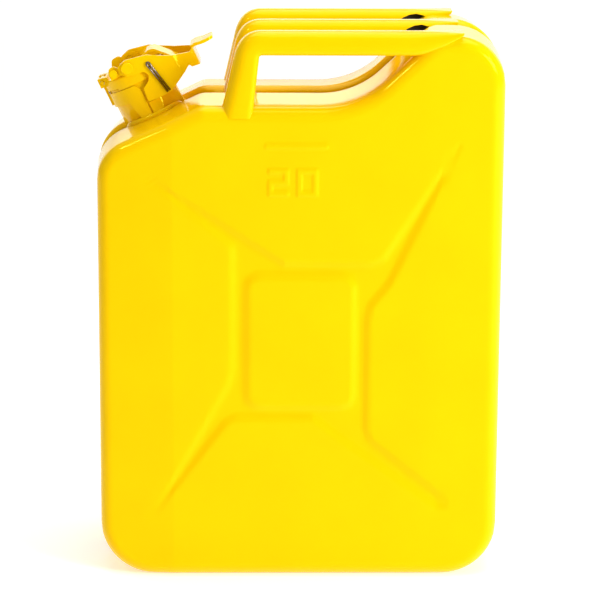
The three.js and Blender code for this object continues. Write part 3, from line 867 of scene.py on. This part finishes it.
HUMP_SIDE = [
    (7.4, 44.8, 0), (12.6, 47.4, 4), (18, 49.6, 5), (22, 48.2, 5), (33, 37, 7), (42, 29, 6),
    (42, 30.4, 0), (34.4, 38.4, 7), (23, 50.2, 6), (18, 51.4, 6), (12, 49.2, 4), (7, 46.4, 0),
]
TAB_SIDE = [
    (51.9, 37.2, 0), (56.5, 37.7, 4), (64, 36.6, 8), (72, 36.9, 1.2), (72, 39.6, 1.2), (64, 39.3, 8),
    (56.5, 40.4, 4), (51.9, 39.8, 0),
]
TAB_PLAN = [(40, -16.5, 0), (60, -16.5, 4), (72, -12.5, 5), (72, 12.5, 5), (60, 16.5, 4), (40, 16.5, 0)]


def lever_plan(half, end, low, high):
    """The lever's plan, open towards the hinge: two cheeks that draw in to an end wall."""
    back, narrowing, draw_in = -14, 31, 12
    plan = fillet([
        (back, -half, 0), (narrowing, -half, 40), (end, draw_in - half, 5), (end, half - draw_in, 5),
        (narrowing, half, 40), (back, half, 0),
    ])
    return prism(plan, low, high, "w")


def lever_piece():
    walls = lever_plan(CHEEK_OUT, END_OUT, 5, 60)
    open_back = [(-15, 4), (0, 4), (0, 61), (-15, 61)]
    carve(
        walls, ("DIFFERENCE", lever_plan(CHEEK_IN, END_IN, 4, 61)),
        ("DIFFERENCE", prism(open_back, -CHEEK_IN, CHEEK_IN)),
        ("INTERSECT", prism(fillet(LEVER_SIDE, 8), -THROUGH, THROUGH)),
    )
    web = prism(fillet(WEB_SIDE), -THROUGH, THROUGH)
    carve(web, ("INTERSECT", lever_plan(CHEEK_IN + 0.5, END_IN + 0.5, 5, 60)))
    carve(web, ("UNION", prism(fillet(HUMP_SIDE), -HUMP_HALF, HUMP_HALF)))
    tab = carve(prism(fillet(TAB_SIDE), -20, 20), ("INTERSECT", prism(fillet(TAB_PLAN), 30, 50, "w")))
    pivot_hole = rod(*PIVOT, PIVOT_HOLE_R, -THROUGH, THROUGH)
    carve(walls, ("UNION", web), ("UNION", tab), ("DIFFERENCE", pivot_hole))
    settle(walls, "lever_sheet", "lever_body", "body_paint", ["lever"], bevel=0.45, angle=35)


lever_piece()


# ---- locking pin ----
def locking_pin():
    """A hairpin of round wire: two strands that run side by side from their tips to a round eye."""
    tip, head = np.array([21, 14.6]), np.array([14.4, 44])
    strand, eye, wire_r = 1.15, 1.35, 0.88
    y = -(CHEEK_OUT + 0.3 + 0.9)
    length = np.linalg.norm(head - tip)
    along = unit(head - tip)
    across = np.array([-along[1], along[0]])
    parting, crown, cap = length - 3.4 * eye, length - 1.6 * eye, 1.6 * eye
    side = [(t * parting, strand) for t in np.linspace(0, 1, 12)]
    for t in np.linspace(0, 1, 8)[1:]:
        side.append((parting + eye * t, strand + (eye - strand) * float(smooth(t))))
    side.append((crown, eye))
    turn = [(crown + cap * math.sin(a), eye * math.cos(a)) for a in np.linspace(0, math.pi, 15)[1:-1]]
    path = []
    for reach, spread in side + turn + [(a, -b) for a, b in reversed(side)]:
        u, w = tip + along * reach + across * spread
        path.append((u, y, w))
    wire = tube(path, [wire_r] * len(path))
    settle(wire, "locking_pin_wire", "pin_body", "bare_steel", ["locking_pin"])


locking_pin()


# ---- CAD nodes whose shape is kept ----
SLOT_OF = {part["node"]: part["material_slot"] for part in frame["record"]["subparts"]}
KEPT = {
    name: BY_SLOT[SLOT_OF[name]]
    for name in ("breather_tube", "breather_clip", "lid_gasket", "gasket_plate", "lid_rivet")
}
KEPT["hinge_pin"] = ENAMEL
for name, material in KEPT.items():
    materials = frame["nodes"][name].data.materials
    materials.clear()
    materials.append(material)


# ---- floor, light and camera, in metres ----
FLOOR_HALF, BACKDROP_Y, BACKDROP_HEIGHT = 6, 5, 3
FLOOR_GLOW, WORLD_GLOW = 0.4, 0.3
BACKDROP_TINT = (1, 0.95, 0.7, 1)
BACKDROP_RISE = (0.9, 2.0, 0.45, 1.75)  # two heights, and how strongly it glows at each
LIGHTS = (  # name, place, target, size and power
    ("overhead", (0.1, 0.1, 1.7), (0, 0, 0.3), (1.5, 1.2), 15),
    ("key", (2.2, -1.7, 1.25), (0, 0, 0.2), (1.1, 1.1), 71),
    ("streak", (-1.05, -0.5, 1.5), (0.08, 0, 0.42), (0.2, 0.1), 1.6),
    ("left_fill", (-2.0, -0.9, 0.9), (0, 0, 0.2), (0.9, 1.2), 1.2),
)


def area_light(name, place, target, size, power):
    data = bpy.data.lights.new(name, "AREA")
    data.shape = "RECTANGLE"
    data.size, data.size_y = size
    data.energy = power
    light = bpy.data.objects.new(name, data)
    bpy.context.collection.objects.link(light)
    light.location = place
    light.rotation_euler = (Vector(target) - Vector(place)).to_track_quat("-Z", "Y").to_euler()


def studio():
    """White paper underfoot, a bright graded backdrop behind, and the lights."""
    e = FLOOR_HALF
    floor = mesh_piece("floor", [(-e, -e, 0), (e, -e, 0), (e, e, 0), (-e, e, 0)], [(0, 1, 2, 3)], False)
    material, _, _, paper = new_material("white_paper")
    paper.inputs["Base Color"].default_value = grey(0.9)
    paper.inputs["Roughness"].default_value = 0.6
    paper.inputs["Emission Color"].default_value = grey(1)
    paper.inputs["Emission Strength"].default_value = FLOOR_GLOW
    floor.data.materials.append(material)

    wall = [(x, BACKDROP_Y, z) for x, z in ((-e, 0), (e, 0), (e, BACKDROP_HEIGHT), (-e, BACKDROP_HEIGHT))]
    backdrop = mesh_piece("backdrop", wall, [(3, 2, 1, 0)], False)
    material, nodes, links, lit = new_material("lit_backdrop")
    lit.inputs["Base Color"].default_value = grey(0.9)
    lit.inputs["Emission Color"].default_value = BACKDROP_TINT
    height = coordinate(nodes, links, "Z")
    links.new(map_range(nodes, links, height, *BACKDROP_RISE), lit.inputs["Emission Strength"])
    backdrop.data.materials.append(material)

    world = bpy.data.worlds.new("studio")
    bpy.context.scene.world = world
    world.use_nodes = True
    world.node_tree.nodes["Background"].inputs["Color"].default_value = grey(1)
    world.node_tree.nodes["Background"].inputs["Strength"].default_value = WORLD_GLOW
    for light in LIGHTS:
        area_light(*light)
    bpy.context.scene.view_settings.view_transform = "Standard"


CAMERA = {"distance": 2.326, "elevation": 13.642, "azimuth": -1.117, "roll": 0.309, "lens": 160.5}
SENSOR_WIDTH = 36
AIM = Vector((0.00155, 0, 0.2248))


def camera():
    elevation, azimuth, roll = (math.radians(CAMERA[k]) for k in ("elevation", "azimuth", "roll"))
    level = math.cos(elevation)
    back = Vector((math.sin(azimuth) * level, -math.cos(azimuth) * level, math.sin(elevation)))
    data = bpy.data.cameras.new("camera")
    data.lens = CAMERA["lens"]
    data.sensor_width = SENSOR_WIDTH
    view = bpy.data.objects.new("camera", data)
    bpy.context.collection.objects.link(view)
    turn = (-back).to_track_quat("-Z", "Y") @ Matrix.Rotation(roll, 3, "Z").to_quaternion()
    view.location = AIM + back * CAMERA["distance"]
    view.rotation_euler = turn.to_euler()
    bpy.context.scene.camera = view


studio()
camera()
